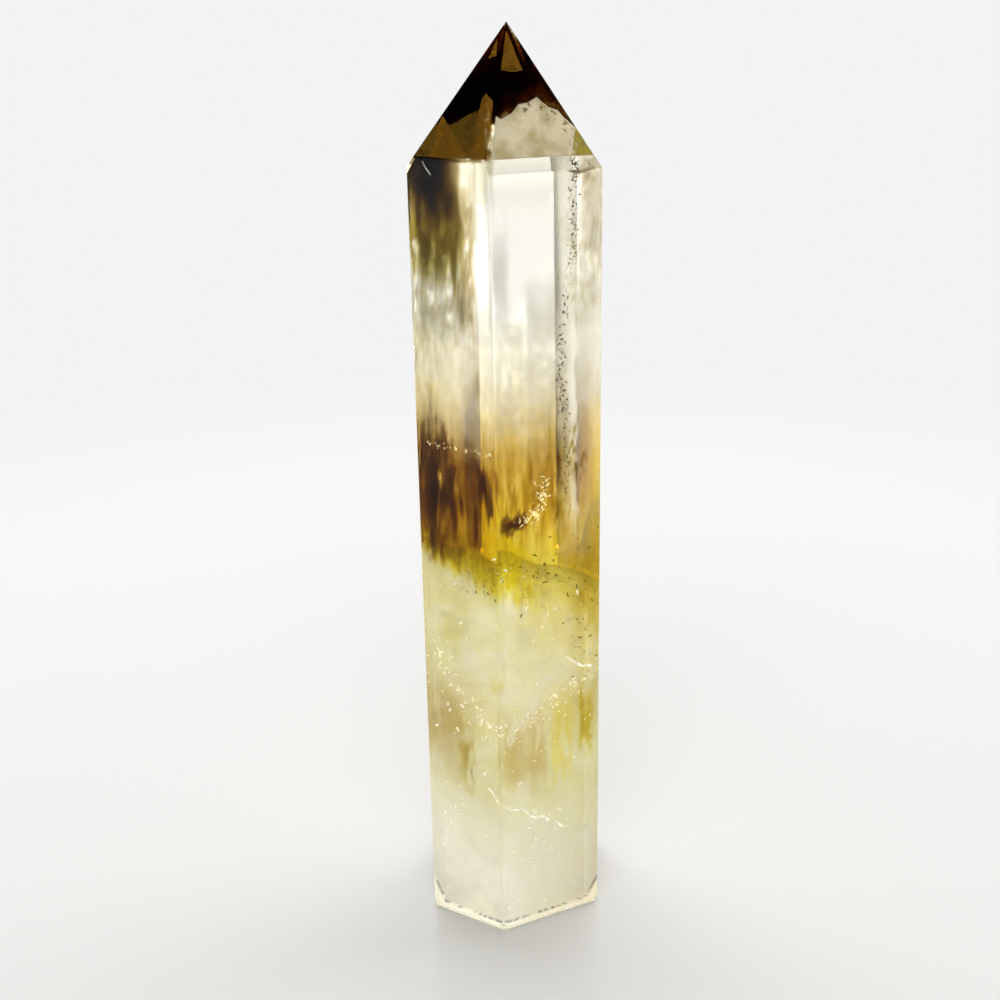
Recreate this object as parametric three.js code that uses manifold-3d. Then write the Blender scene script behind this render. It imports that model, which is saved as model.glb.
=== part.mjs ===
// A polished citrine point: one quartz crystal ground into a six-sided tower with a six-facet
// crown and a flat sawn base. Millimetres, +Z up. The origin is the middle of the base.
//
// The crystal is made as a lapidary makes it. A rough block is ground flat by flat: each flat is
// a plane with a bearing (which way it faces, seen from above, with +X at 0 and +Y at 90 degrees)
// and all the rough beyond the plane is taken away. Then the knocks of use are chipped out.
import * as THREE from "three";
import { mergeVertices } from "three/addons/utils/BufferGeometryUtils.js";
import Module from "manifold-3d";

// Driving dimensions.
const HEIGHT = 100; // base to tip
const TIP = new THREE.Vector3(0.05, -0.83, HEIGHT);
const ROUGH_WIDTH = 44; // the rough block, wider than the finished point
const ROUGH_SPARE = 6; // rough above the tip
const GRINDSTONE = 260; // edge of the block that stands for what a flat grinds away

// The six sides of the prism: bearing, and reach from the origin to the flat. The six flats of
// the crown each lie over a side, all pass through the tip, and lean from the level by `lean`.
const SIDES = [
  { bearing: -121.6, reach: 10.83, crownBearing: -120.5, lean: 51.3 }, // front left
  { bearing: -62.8, reach: 9.59, crownBearing: -62.8, lean: 57.7 }, // front right
  { bearing: -2.8, reach: 9.7, crownBearing: 3.0, lean: 56.9 }, // right
  { bearing: 57.2, reach: 10.51, crownBearing: 57.2, lean: 51.5 }, // back right
  { bearing: 118.4, reach: 9.64, crownBearing: 118.4, lean: 53.4 }, // back left
  { bearing: 178.4, reach: 9.82, crownBearing: 170.0, lean: 56.8 }, // left
];

// The foot is eased all round: a narrow flat at 45 degrees, this far up from the base.
const FOOT_EASE = 0.22;

// Knocks on the edges: the edge is the corner after the named side, `height` is above the base,
// `bite` is how deep the chip goes in from the corner, and `size` is its radius.
const CHIPS = [
  { corner: 5, height: 67.6, bite: 0.42, size: 0.75, squash: 1.5 },
  { corner: 5, height: 66.3, bite: 0.22, size: 0.5, squash: 1.2 },
  { corner: 1, height: 7.6, bite: 0.3, size: 0.6, squash: 1.3 },
  { corner: 0, height: 0.4, bite: 0.5, size: 1.1, squash: 0.8 },
  { corner: 1, height: 0.3, bite: 0.35, size: 0.8, squash: 0.8 },
  { corner: 3, height: 41.5, bite: 0.24, size: 0.55, squash: 1.6 },
  { corner: 4, height: 0.3, bite: 0.4, size: 0.9, squash: 0.9 },
];
const CHIP_FACETS = { around: 9, down: 6 };

const wasm = await Module();
wasm.setup();

const radians = THREE.MathUtils.degToRad;

// A closed three.js geometry as a manifold-3d solid, with its shared vertices merged.
function solid(geometry) {
  const bare = geometry.clone();
  bare.deleteAttribute("normal");
  bare.deleteAttribute("uv");
  const merged = mergeVertices(bare, 1e-4);
  return new wasm.Manifold(
    new wasm.Mesh({
      numProp: 3,
      vertProperties: new Float32Array(merged.attributes.position.array),
      triVerts: new Uint32Array(merged.index.array),
    }),
  );
}

// The direction a flat faces: `bearing` round from +X, `lean` up from the level of a side (90)
// to straight up (0).
function facing(bearing, lean) {
  const level = Math.sin(radians(lean));
  return new THREE.Vector3(
    level * Math.cos(radians(bearing)),
    level * Math.sin(radians(bearing)),
    Math.cos(radians(lean)),
  );
}

// Everything beyond the plane through `point` that faces `outward`, as one large block.
function beyond(outward, point) {
  const block = new THREE.BoxGeometry(GRINDSTONE, GRINDSTONE, GRINDSTONE);
  block.translate(0, 0, GRINDSTONE / 2);
  const turn = new THREE.Quaternion().setFromUnitVectors(new THREE.Vector3(0, 0, 1), outward);
  block.applyQuaternion(turn);
  block.translate(point.x, point.y, point.z);
  return solid(block);
}

// Where two neighbouring sides of the prism meet, seen from above.
function corner(index) {
  const here = SIDES[index];
  const next = SIDES[(index + 1) % SIDES.length];
  const a = facing(here.bearing, 90);
  const b = facing(next.bearing, 90);
  const det = a.x * b.y - a.y * b.x;
  return new THREE.Vector2(
    (here.reach * b.y - next.reach * a.y) / det,
    (next.reach * a.x - here.reach * b.x) / det,
  );
}

function roughBlock() {
  const tall = HEIGHT + ROUGH_SPARE;
  const block = new THREE.BoxGeometry(ROUGH_WIDTH, ROUGH_WIDTH, tall);
  block.translate(0, 0, tall / 2);
  return solid(block);
}

// Grinds the sides, the crown and the eased foot.
function ground(rough) {
  let stone = rough;
  for (const side of SIDES) {
    const outward = facing(side.bearing, 90);
    const onSide = outward.clone().multiplyScalar(side.reach);
    stone = stone.subtract(beyond(outward, onSide));
    stone = stone.subtract(beyond(facing(side.crownBearing, side.lean), TIP));
    const eased = onSide.clone().setZ(FOOT_EASE);
    stone = stone.subtract(beyond(facing(side.bearing, 135), eased));
  }
  return stone;
}

// A chip is a shallow shell-shaped hollow, cut by a coarse squashed ball that stands outside the
// corner and reaches `bite` into it.
function chip({ corner: index, height, bite, size, squash }) {
  const at = corner(index);
  const away = at.clone().normalize().multiplyScalar(size - bite);
  const ball = new THREE.SphereGeometry(size, CHIP_FACETS.around, CHIP_FACETS.down);
  ball.rotateX(radians(37 * (index + 1)));
  ball.scale(1, 1, squash);
  ball.translate(at.x + away.x, at.y + away.y, height);
  return solid(ball);
}

function chipped(stone) {
  return CHIPS.reduce((worn, knock) => worn.subtract(chip(knock)), stone);
}

// A manifold-3d solid as a flat-shaded three.js geometry.
function geometryOf(stone) {
  const mesh = stone.getMesh();
  const indexed = new THREE.BufferGeometry();
  indexed.setAttribute("position", new THREE.BufferAttribute(mesh.vertProperties, 3));
  indexed.setIndex(new THREE.BufferAttribute(mesh.triVerts, 1));
  const flat = indexed.toNonIndexed();
  flat.computeVertexNormals();
  return flat;
}

const quartz = new THREE.MeshStandardMaterial({
  color: 0xd9cf9c,
  roughness: 0.05,
  metalness: 0,
  transparent: true,
  opacity: 0.6,
});

const crystal = new THREE.Mesh(geometryOf(chipped(ground(roughBlock()))), quartz);
crystal.name = "crystal_point";

const part = new THREE.Group();
part.add(crystal);

export default part;
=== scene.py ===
# %% [markdown]
# # A polished citrine point
#
# The real thing is one quartz crystal, ground into a six-sided tower. It is clear, so almost
# everything the eye finds lies inside it: a smoky brown tip, a brown and olive band half way
# down, milky cream stone below, and hundreds of tiny bright flakes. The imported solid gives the
# outside. This lesson makes the polish, and then what is sealed in the stone.

import bmesh
import bpy
import numpy as np
from mathutils import Matrix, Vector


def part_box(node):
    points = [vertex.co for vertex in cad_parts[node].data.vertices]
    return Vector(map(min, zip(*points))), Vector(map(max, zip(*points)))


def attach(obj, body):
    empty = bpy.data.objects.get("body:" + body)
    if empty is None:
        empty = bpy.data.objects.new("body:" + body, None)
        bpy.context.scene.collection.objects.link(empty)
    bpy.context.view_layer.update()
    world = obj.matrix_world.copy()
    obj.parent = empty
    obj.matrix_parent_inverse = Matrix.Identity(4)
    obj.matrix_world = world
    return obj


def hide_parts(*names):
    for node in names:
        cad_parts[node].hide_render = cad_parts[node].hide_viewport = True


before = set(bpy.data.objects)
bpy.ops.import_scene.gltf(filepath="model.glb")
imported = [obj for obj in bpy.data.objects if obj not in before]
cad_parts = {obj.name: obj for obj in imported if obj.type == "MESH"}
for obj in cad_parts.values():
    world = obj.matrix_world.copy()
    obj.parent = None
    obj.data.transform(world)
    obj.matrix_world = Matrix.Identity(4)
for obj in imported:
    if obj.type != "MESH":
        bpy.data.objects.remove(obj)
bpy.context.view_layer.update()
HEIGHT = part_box("crystal_point")[1][2]
MM = HEIGHT / 100
print(f"the stone is {HEIGHT / MM:.1f} mm tall")

# %% [markdown]
# ## The flats of the stone
#
# Everything inside has to stop short of the polished faces, so the script needs their planes. The
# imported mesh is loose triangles. Adding up the area that faces each way finds the large flats, and
# leaves out the chips and the eased foot.

# %% Measure the large flats
LARGE_FLAT = 20 * MM**2
NO_AREA = 1e-12
UPRIGHT = 0.05
LEANING = 0.2


def flats_of(mesh):
    """Each flat as an outward normal n and an offset d. Inside the stone, n . p is less than d."""
    mesh.calc_loop_triangles()
    points = np.empty(len(mesh.vertices) * 3)
    mesh.vertices.foreach_get("co", points)
    corners = np.empty(len(mesh.loop_triangles) * 3, dtype=np.int32)
    mesh.loop_triangles.foreach_get("vertices", corners)
    triangles = points.reshape(-1, 3)[corners.reshape(-1, 3)]
    across = np.cross(triangles[:, 1] - triangles[:, 0], triangles[:, 2] - triangles[:, 0])
    size = np.linalg.norm(across, axis=1)
    real = size > NO_AREA
    triangles, size = triangles[real], size[real]
    normals = across[real] / size[:, None]
    kinds = np.unique(np.round(normals, 3), axis=0, return_index=True, return_inverse=True)
    area = np.bincount(kinds[2].ravel(), weights=size / 2)
    large = kinds[1][area > LARGE_FLAT]
    offsets = (normals[large] * triangles[large].mean(axis=1)).sum(axis=1)
    return normals[large], offsets


NORMALS, OFFSETS = flats_of(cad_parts["crystal_point"].data)
upright = np.abs(NORMALS[:, 2]) < UPRIGHT
bearings = np.degrees(np.arctan2(NORMALS[upright, 1], NORMALS[upright, 0]))
order = np.argsort(bearings)
SIDE_NORMALS = NORMALS[upright][order, :2]
SIDE_OFFSETS = OFFSETS[upright][order]
crown = np.flatnonzero(NORMALS[:, 2] > LEANING)
crown = crown[np.argsort(np.arctan2(NORMALS[crown, 1], NORMALS[crown, 0]))]
CROWN_NORMALS = NORMALS[crown]
CROWN_OFFSETS = OFFSETS[crown]
FRONT_LEFT, FRONT_RIGHT = 0, 1
print("sides face", np.round(bearings[order]), "and the crown has", len(CROWN_OFFSETS), "flats")

# %% [markdown]
# Ways to say where something is: so many millimetres along a side and so deep under the polish, as
# a share of the way out from the axis, or under a flat of the crown. All come from the planes.

# %% Places inside the stone
HARDLY_FACING = 1e-3


def corner_after(side):
    """Where a side meets the next one round, seen from above: both n . p = d at once."""
    pair = [side, (side + 1) % 6]
    return np.linalg.solve(SIDE_NORMALS[pair], SIDE_OFFSETS[pair])


def under(side, along, height, depth):
    """The place `depth` mm under a side, `along` mm from its left-hand edge as seen from outside."""
    along, height, depth = np.broadcast_arrays(*(np.asarray(v, float) for v in (along, height, depth)))
    start = corner_after((side - 1) % 6)
    onward = corner_after(side) - start
    onward /= np.linalg.norm(onward)
    flat = start + along[..., None] * MM * onward - depth[..., None] * MM * SIDE_NORMALS[side]
    return np.concatenate([flat, height[..., None] * MM], axis=-1)


def reach(angle, inset):
    """How far the sides are from the axis in a direction: the least of (d - inset) / (n . direction)."""
    facing = np.stack([np.cos(angle), np.sin(angle)], axis=-1) @ SIDE_NORMALS.T
    return ((SIDE_OFFSETS - inset) / np.maximum(facing, HARDLY_FACING)).min(axis=-1)


def crown_height(x, y, inset):
    """How high the crown is over a place: the least over its flats of (d - inset - n . xy) / n_z."""
    covered = np.stack([x, y], axis=-1) @ CROWN_NORMALS[:, :2].T
    return ((CROWN_OFFSETS - inset - covered) / CROWN_NORMALS[:, 2]).min(axis=-1)


def under_crown(side, x, z, depth):
    """The place x, z mm that lies `depth` mm under a flat of the crown: y from n . p = d - depth."""
    normal, offset = CROWN_NORMALS[side], CROWN_OFFSETS[side] / MM
    y = (offset - depth - normal[0] * x - normal[2] * z) / normal[1]
    return np.stack([x, y, z], axis=-1) * MM


def pressed_inside(points, inset):
    """Moves any place that is beyond a flat, less the inset, back onto it along the flat's normal."""
    for _ in range(3):
        for normal, offset in zip(NORMALS, OFFSETS):
            beyond = np.maximum(points @ normal - offset + inset * MM, 0)
            points = points - beyond[..., None] * normal
    return points


print("front edge at", np.round(corner_after(FRONT_LEFT) / MM, 2), "mm")

# %% [markdown]
# ## Shapes for what is sealed inside
#
# Natural boundaries wander. `wander` is a smooth noise made of many sine waves that run in random
# directions. A zone of colour is a *slab*: a closed body between two wandering height fields, cut
# off at the sides of the stone. A sheet is a patch of surface with a thickness, a column is a
# slim spindle along the growth direction, and a flake is a tiny six-sided plate.

# %% A smooth wandering noise
def wander(spots, size, seed, waves=16):
    """Smooth noise of about -1 to 1 at the given places in mm, with features about `size` mm long."""
    rng = np.random.default_rng(seed)
    ways = rng.normal(size=(waves, spots.shape[-1]))
    ways /= np.linalg.norm(ways, axis=1)[:, None]
    ways *= 2 * np.pi / size * rng.uniform(0.5, 1.7, (waves, 1))
    return np.sin(spots @ ways.T + rng.uniform(0, 2 * np.pi, waves)).sum(axis=-1) / np.sqrt(waves)


def level_wander(x, y, size, seed):
    """The same noise as a height in metres over places x, y."""
    return wander(np.stack([x, y], axis=-1) / MM, size, seed) * MM


# %% Put a mesh into the scene
def add_piece(name, points, faces, material, smooth=True):
    """A new object at the origin that rides on the stone and has its slot."""
    mesh = bpy.data.meshes.new(name)
    mesh.from_pydata(points.reshape(-1, 3).tolist(), [], faces.reshape(-1, faces.shape[-1]).tolist())
    mesh.polygons.foreach_set("use_smooth", np.full(len(mesh.polygons), smooth))
    mesh.materials.append(material)
    piece = bpy.data.objects.new(name, mesh)
    bpy.context.scene.collection.objects.link(piece)
    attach(piece, "root")
    print(f"{name}: {len(mesh.vertices)} points, {len(mesh.polygons)} faces")
    return piece


# %% A slab of stone between two height fields
THINNEST = 0.03


def slab(name, material, floor_of, roof_of, inset, rings=30, spokes=120):
    """A closed body. Its places (x, y) are rings that fill the cross section of the stone. At each
    one the roof is the lower of roof_of and the crown, and the floor stays just under the roof."""
    angle = np.linspace(-np.pi, np.pi, spokes, endpoint=False)
    share = np.linspace(0, 1, rings + 1)[1:]
    out = share[:, None] * reach(angle, inset * MM)
    x = np.append((out * np.cos(angle)).ravel(), 0)
    y = np.append((out * np.sin(angle)).ravel(), 0)
    roof = np.minimum(roof_of(x, y), crown_height(x, y, inset * MM))
    floor = np.minimum(floor_of(x, y), roof - THINNEST * MM)
    points = np.concatenate([np.stack([x, y, roof], 1), np.stack([x, y, floor], 1)])
    here = np.arange(rings * spokes).reshape(rings, spokes)
    beside = np.roll(here, -1, axis=1)
    hub = np.full(spokes, rings * spokes)
    fan = np.stack([hub, here[0], beside[0]], 1)
    band = np.stack([here[:-1], here[1:], beside[1:], here[:-1], beside[1:], beside[:-1]], -1)
    top = np.concatenate([fan, band.reshape(-1, 3)])
    bottom = top[:, ::-1] + len(x)
    rim, rim_beside = here[-1], beside[-1]
    wall = np.stack([rim, rim + len(x), rim_beside + len(x), rim, rim_beside + len(x), rim_beside], -1)
    faces = np.concatenate([top, bottom, wall.reshape(-1, 3)])
    return add_piece(name, points, faces, material, smooth=False)


# %% A sheet with a thickness
def sheet(name, material, surface, thick, steps=(60, 60)):
    """A closed sheet: surface(u, v) gives its middle on a grid, and the two faces stand half of
    `thick` mm to each side along the normal, with a rim of quads all round."""
    u, v = np.meshgrid(np.linspace(0, 1, steps[0]), np.linspace(0, 1, steps[1]), indexing="ij")
    middle = surface(u, v)
    normal = np.cross(np.gradient(middle, axis=0), np.gradient(middle, axis=1))
    normal /= np.linalg.norm(normal, axis=-1, keepdims=True)
    points = np.stack([middle + normal * thick * MM / 2, middle - normal * thick * MM / 2])
    index = np.arange(u.size).reshape(u.shape)
    top = np.stack([index[:-1, :-1], index[1:, :-1], index[1:, 1:], index[:-1, 1:]], -1).reshape(-1, 4)
    loop = np.concatenate([index[:-1, 0], index[-1, :-1], index[:0:-1, -1], index[0, :0:-1]])
    onward = np.roll(loop, -1)
    rim = np.stack([loop + u.size, onward + u.size, onward, loop], 1)
    return add_piece(name, points, np.concatenate([top, top[:, ::-1] + u.size, rim]), material)


# %% Many small plates
FLAKE_WIDTH = 0.45
FLAKE_THICKNESS = 0.12


def flakes(name, material, centres, size, rng):
    """Six-sided plates with random outlines and tilts. Each is a hub above and below a ring."""
    count = len(centres)
    across = rng.normal(size=(count, 3))
    normal = rng.normal(size=(count, 3))
    normal /= np.linalg.norm(normal, axis=1, keepdims=True)
    across -= (across * normal).sum(1, keepdims=True) * normal
    across /= np.linalg.norm(across, axis=1, keepdims=True)
    third = FLAKE_WIDTH * np.cross(normal, across)
    angle = np.linspace(0, 2 * np.pi, 6, endpoint=False) + rng.uniform(-0.3, 0.3, (count, 6))
    radius = (size[:, None] * rng.uniform(0.45, 1.1, (count, 6)) * MM)[..., None]
    ring = radius * (np.cos(angle)[..., None] * across[:, None] + np.sin(angle)[..., None] * third[:, None])
    lift = (size * FLAKE_THICKNESS * MM)[:, None] * normal
    points = np.concatenate([ring, lift[:, None], -lift[:, None]], axis=1) + centres[:, None]
    spin = np.arange(6)
    onward = (spin + 1) % 6
    above = np.stack([spin, onward, np.full(6, 6)], 1)
    below = np.stack([onward, spin, np.full(6, 7)], 1)
    one = np.concatenate([above, below])
    faces = one[None] + 8 * np.arange(count)[:, None, None]
    return add_piece(name, points, faces, material, smooth=False)


# %% Many slim columns
def columns(name, material, feet, length, radius, rng, rings=7, around=6):
    """Spindles along Z: each ring's radius follows a sine, and its centre sways."""
    count = len(feet)
    up = np.linspace(0, 1, rings)
    swell = np.sin(np.pi * (0.03 + 0.94 * up))
    angle = np.linspace(0, 2 * np.pi, around, endpoint=False) + rng.uniform(0, 6, (count, 1, 1))
    wide = radius[:, None, None] * swell[None, :, None] * rng.uniform(0.7, 1.3, (count, rings, around))
    sway = np.cumsum(rng.normal(scale=0.25, size=(count, rings, 2)), axis=1) * radius[:, None, None]
    x = feet[:, 0, None, None] + (wide * np.cos(angle) + sway[..., 0, None]) * MM
    y = feet[:, 1, None, None] + (wide * np.sin(angle) + sway[..., 1, None]) * MM
    z = feet[:, 2, None, None] + (length[:, None, None] * up[None, :, None] + 0 * wide) * MM
    rings_of = np.stack([x, y, z], -1).reshape(count, rings * around, 3)
    foot = rings_of[:, :around].mean(1, keepdims=True) - [0, 0, 0.2 * MM]
    head = rings_of[:, -around:].mean(1, keepdims=True) + [0, 0, 0.2 * MM]
    points = np.concatenate([rings_of, foot, head], axis=1)
    here = np.arange(rings * around).reshape(rings, around)
    beside = np.roll(here, -1, axis=1)
    side = np.stack([here[:-1], beside[:-1], beside[1:], here[:-1], beside[1:], here[1:]], -1)
    below = np.stack([beside[0], here[0], np.full(around, rings * around)], 1)
    above = np.stack([here[-1], beside[-1], np.full(around, rings * around + 1)], 1)
    one = np.concatenate([side.reshape(-1, 3), below, above])
    faces = one[None] + (rings * around + 2) * np.arange(count)[:, None, None]
    return add_piece(name, points, faces, material)


# %% [markdown]
# ## Finishes
#
# Colour in clear stone is light that the stone has swallowed. So a zone's material says what is
# left of white light after so many millimetres, and a plain Volume Absorption node does the rest.
# A zone inside the quartz has the same refractive index as the quartz around it. The light must
# not bend where one meets the other, which is what an IOR of 1 on the inner skin gives.

# %% Clear stone that swallows light
QUARTZ_IOR = 1.544
SAME_INDEX = 1
GLOSS = 0.12  # how much white the polish mirrors: low, so that dark stone stays dark


def new_material(name):
    """A material and its Principled shader."""
    material = bpy.data.materials.new(name)
    material.use_nodes = True
    return material, material.node_tree.nodes["Principled BSDF"]


def add_node(tree, kind, inputs, **settings):
    """The outputs of a new node. Each of its inputs gets a value, or another node's output."""
    node = tree.nodes.new("ShaderNode" + kind)
    for name, value in settings.items():
        setattr(node, name, value)
    for name, value in inputs.items():
        if isinstance(value, bpy.types.NodeSocket):
            tree.links.new(value, node.inputs[name])
        else:
            node.inputs[name].default_value = value
    return node.outputs


def clear_stone(name, ior, left, after):
    """See-through stone. `left` is the red, green and blue left of white light after `after` mm."""
    material, shader = new_material(name)
    shader.inputs["Base Color"].default_value = (1, 1, 1, 1)
    shader.inputs["Roughness"].default_value = 0
    shader.inputs["Transmission Weight"].default_value = 1
    shader.inputs["IOR"].default_value = ior
    shader.inputs["Specular Tint"].default_value = (GLOSS, GLOSS, GLOSS, 1)
    swallowed = -np.log(left) / (after * MM)
    most = swallowed.max()
    tree = material.node_tree
    volume = add_node(tree, "VolumeAbsorption", {"Color": (*(1 - swallowed / most), 1), "Density": most})
    tree.links.new(volume["Volume"], tree.nodes["Material Output"].inputs["Volume"])
    return material


# %% [markdown]
# Streaks and clouds all come from one mask: noise that is drawn out along the crystal, cut by two
# levels, and faded in and out between heights. It is one node group, used by each finish with its
# own numbers.

# %% A node group for streaks and clouds
def build_cloud_group():
    """Mask = clamp((noise - Low) / (High - Low)) * rise above Bottom * fall below Top * Most."""
    tree = bpy.data.node_groups.new("streaks and clouds", "ShaderNodeTree")
    sockets = dict(Size=3, Stretch=1, Detail=4, Low=0.45, High=0.65, Bottom=0, Bottom_Soft=1, Top=100,
                   Top_Soft=1, Most=1)
    for name, value in sockets.items():
        socket = tree.interface.new_socket(
            name.replace("_", " "), in_out="INPUT", socket_type="NodeSocketFloat")
        socket.default_value = value
    tree.interface.new_socket("Mask", in_out="OUTPUT", socket_type="NodeSocketFloat")
    given = tree.nodes.new("NodeGroupInput").outputs

    def maths(kind, a, b, clamp=False):
        return add_node(tree, "Math", {0: a, 1: b}, operation=kind, use_clamp=clamp)[0]

    where = add_node(tree, "TexCoord", {})["Object"]
    in_mm = add_node(tree, "VectorMath", {0: where, "Scale": 1 / MM}, operation="SCALE")[0]
    x, y, z = add_node(tree, "SeparateXYZ", {0: in_mm})
    drawn = add_node(tree, "CombineXYZ", {"X": x, "Y": y, "Z": maths("DIVIDE", z, given["Stretch"])})[0]
    scale = maths("DIVIDE", 1.0, given["Size"])
    noise = add_node(tree, "TexNoise", {"Vector": drawn, "Scale": scale, "Detail": given["Detail"]})["Fac"]
    cut = add_node(tree, "MapRange", {"Value": noise, "From Min": given["Low"], "From Max": given["High"]})
    above = maths("DIVIDE", maths("SUBTRACT", z, given["Bottom"]), given["Bottom Soft"], True)
    below = maths("DIVIDE", maths("SUBTRACT", given["Top"], z), given["Top Soft"], True)
    inside = maths("MULTIPLY", above, below)
    mask = maths("MULTIPLY", maths("MULTIPLY", cut["Result"], inside), given["Most"])
    tree.links.new(mask, tree.nodes.new("NodeGroupOutput").inputs["Mask"])
    return tree


CLOUD = build_cloud_group()


def cloud_mask(material, **settings):
    """The node group inside a material, with its sockets set by name."""
    inputs = {name.replace("_", " "): value for name, value in settings.items()}
    return add_node(material.node_tree, "Group", inputs, node_tree=CLOUD)["Mask"]


def between(material, mask, plain, marked):
    """A colour that goes from plain to marked with the mask."""
    inputs = {"A": (*plain, 1), "B": (*marked, 1), "Factor": mask}
    return add_node(material.node_tree, "Mix", inputs, data_type="RGBA")["Result"]


def painted_glow(shader, colour, strength):
    """Painted light: an emission that makes dust, flakes and veils glow, though none of them is a lamp."""
    shader.inputs["Emission Color"].default_value = (*colour, 1)
    shader.inputs["Emission Strength"].default_value = strength


def matt(name, colour, roughness):
    """A plain opaque finish, and its shader."""
    material, shader = new_material(name)
    shader.inputs["Base Color"].default_value = (*colour, 1)
    shader.inputs["Roughness"].default_value = roughness
    return material, shader


def milky(name, colour, roughness=0.7, painted_glow_colour=None, painted_glow_strength=0, **settings):
    """White stone dust in the quartz: a matt skin that is only there where the mask says, with an optional
    painted glow.
    """
    material, shader = matt(name, colour, roughness)
    shader.inputs["Specular IOR Level"].default_value = 0
    material.node_tree.links.new(cloud_mask(material, **settings), shader.inputs["Alpha"])
    if painted_glow_colour:
        painted_glow(shader, painted_glow_colour, painted_glow_strength)
    return material


# %% [markdown]
# ## Films
#
# Between the zones the colour is patchy, and a slab is too plain for that. A *film* is a thin-walled
# closed body that follows the whole stone just under its polish, and each of its points carries a
# colour. A *blot* says where one patch is, with ragged ends and a broken-up inside.

# %% A film that follows the stone
FILM_FOOT = 0.3
FRONT_CROWDING = 0.4  # how much closer together the points of a film stand in front


def film(name, material, inset, paint, rows=250, crown_rows=50, spokes=236):
    """A closed body that follows the whole stone `inset` mm inside its polish. Rows of places go up
    the sides and then in towards the tip, closer together in front. paint(points) colours them."""
    turn = np.linspace(-np.pi, np.pi, spokes, endpoint=False)
    angle = turn - FRONT_CROWDING * np.cos(turn)
    rim = reach(angle, inset * MM)[:, None] * np.stack([np.cos(angle), np.sin(angle)], 1)
    tip = np.linalg.lstsq(CROWN_NORMALS, CROWN_OFFSETS - inset * MM, rcond=None)[0]
    shoulder = crown_height(rim[:, 0], rim[:, 1], inset * MM)
    up = np.linspace(0, 1, rows)[:, None]
    heights = FILM_FOOT * MM + up * (shoulder - FILM_FOOT * MM)
    sides = np.concatenate([np.broadcast_to(rim, (rows, *rim.shape)), heights[..., None]], -1)
    share = np.linspace(1, 0, crown_rows + 2)[1:-1, None, None]
    flat = tip[:2] + share * (rim - tip[:2])
    roof = crown_height(flat[..., 0], flat[..., 1], inset * MM)
    top = np.concatenate([flat, roof[..., None]], -1)
    hubs = np.array([[0, 0, FILM_FOOT * MM], tip])
    points = np.concatenate([sides.reshape(-1, 3), top.reshape(-1, 3), hubs])
    here = np.arange(len(points) - 2).reshape(-1, spokes)
    beside = np.roll(here, -1, axis=1)
    wall = np.stack([here[:-1], beside[:-1], beside[1:], here[:-1], beside[1:], here[1:]], -1)
    foot = np.stack([beside[0], here[0], np.full(spokes, len(points) - 2)], 1)
    cap = np.stack([here[-1], beside[-1], np.full(spokes, len(points) - 1)], 1)
    faces = np.concatenate([wall.reshape(-1, 3), foot, cap])
    piece = add_piece(name, points, faces, material, smooth=False)
    # On the stained films this layer holds stain tints and painted shade; on the dust films it holds a
    # painted glow, and in alpha how much dust there is.
    colour = np.ones((len(points), 4))
    painted = paint(points / MM)
    colour[:, : painted.shape[1]] = painted
    layer = piece.data.color_attributes.new("stain", "FLOAT_COLOR", "POINT")
    layer.data.foreach_set("color", colour.ravel())
    return piece


# %% Where one blot is
SIDE_FADE = 3  # mm over which a blot with a `back` fades out


def blot(points, x, z, soft=(1, 1), far_soft=None, tilt=0.0, lean=0.0, ragged=0.8, grain=(2, 4),
         cover=0.9, crisp=0.9, fine=0.5, back=99, seed=0):
    """Where one stain is: a box in x and z mm with ragged ends. Its height is sheared by tilt times
    x and its sides by lean times z. It is broken up by a noise of `grain` (size, and how many times
    longer it is upwards). `soft` is how far the x and z ends fade, `far_soft` the end at high x, and
    a stain with a `back` stops short of that y."""
    size, stretch = grain
    ends = ragged * wander(points[:, :2], size, 900 + seed)
    brink = 0.25 * ragged * wander(points * (1, 1, 0.4), 2.0, 700 + seed)
    height = points[:, 2] + tilt * points[:, 0] + ends
    across = points[:, 0] + brink + lean * (points[:, 2] - z[0])
    inside = np.clip((back - points[:, 1]) / SIDE_FADE, 0, 1)
    inside *= np.clip((height - z[0]) / soft[1], 0, 1) * np.clip((z[1] - height) / soft[1], 0, 1)
    inside *= np.clip((across - x[0]) / soft[0], 0, 1)
    inside *= np.clip((x[1] - across) / (far_soft or soft[0]), 0, 1)
    broken = wander(points / (1, 1, stretch), size, 500 + seed, waves=30)
    broken += fine * wander(points / (1, 1, stretch * 0.7), size / 2.4, 600 + seed, waves=30)
    return inside * np.clip(0.5 + crisp * (broken + 2 * cover - 1), 0, 1)


# %% [markdown]
# ## The polished outside
#
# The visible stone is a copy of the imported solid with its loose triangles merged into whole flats.
# A lapped flat is a true plane, so the copy is shaded flat: any smoothed normal would bend the light
# that goes through it and blur the crown. A tiny bevel gives each edge the thin bright line of real
# polish.

# %% Polish the stone
quartz = clear_stone("polished quartz", QUARTZ_IOR, (0.965, 0.955, 0.90), 20)
POLISH_WIDTH = 0.12
SAME_PLACE = 1e-6
SAME_PLANE = 0.002


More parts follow.
